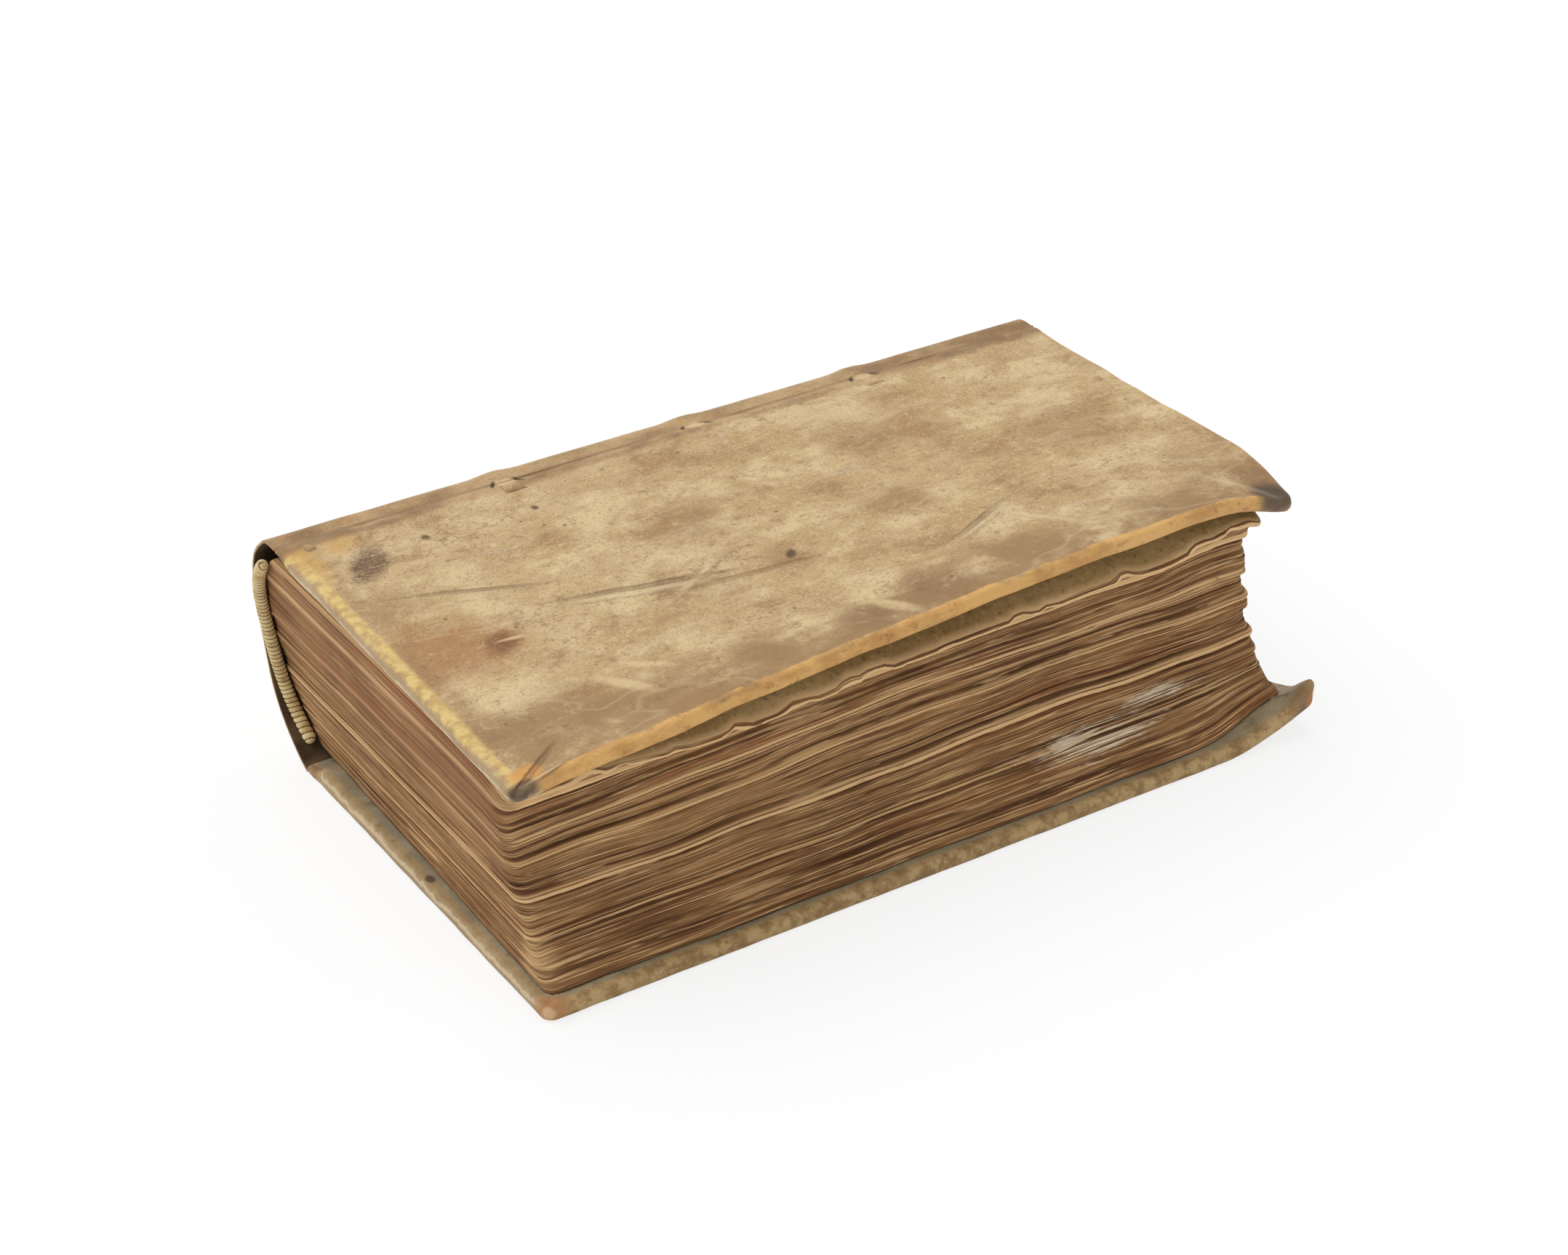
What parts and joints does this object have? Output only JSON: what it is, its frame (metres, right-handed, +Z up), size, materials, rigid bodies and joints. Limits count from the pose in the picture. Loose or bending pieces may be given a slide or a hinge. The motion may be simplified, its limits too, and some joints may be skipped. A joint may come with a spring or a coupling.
{
  "type": "antique parchment-bound book",
  "caption": "Small old book in a laced parchment case over thin boards, with cockled leaves, raised sewing supports, wound endbands and both covers hinged.",
  "frame": {"origin": "centre of the footprint, on the surface that the back cover rests on", "axes": "+X along the spine from the tail to the head, +Y from the fore-edge to the spine, +Z up, out of the front cover"},
  "size_m": [0.1746, 0.1068, 0.0545],
  "materials": {
    "leaves": "aged, matte, browned edges",
    "board": "matte pasteboard",
    "vellum": "mottled parchment, satin",
    "pastedown": "matte",
    "thong": "matte alum-tawed skin",
    "lining": "matte parchment waste",
    "endband_core": "twisted cord",
    "endband_thread": "wound thread"
  },
  "bodies": {
    "text_block": {"head_endband_core": "endband_core", "head_endband_winding": "endband_thread", "sewing_support_1": "thong", "sewing_support_2": "thong", "sewing_support_3": "thong", "spine_lining_1": "lining", "spine_lining_2": "lining", "spine_lining_3": "lining", "spine_lining_4": "lining", "spine_vellum": "vellum", "tail_endband_core": "endband_core", "tail_endband_winding": "endband_thread", "text_block": "leaves"},
    "front_cover": {"front_board": "board", "front_pastedown": "pastedown", "front_slip_1": "thong", "front_slip_2": "thong", "front_slip_3": "thong", "front_slip_4": "thong", "front_slip_5": "thong", "front_vellum": "vellum"},
    "back_cover": {"back_board": "board", "back_pastedown": "pastedown", "back_slip_1": "thong", "back_slip_2": "thong", "back_slip_3": "thong", "back_slip_4": "thong", "back_slip_5": "thong", "back_vellum": "vellum"}
  },
  "joints": [
    {"name": "front_cover_hinge", "type": "hinge", "parent": "text_block", "child": "front_cover", "pos_m": [0, 0.04107, 0.0493], "axis": [-1, 0, 0], "range_deg": [0, 180]},
    {"name": "back_cover_hinge", "type": "hinge", "parent": "text_block", "child": "back_cover", "pos_m": [0, 0.03907, -0.0002], "axis": [1, 0, 0], "range_deg": [0, 180]}
  ]
}
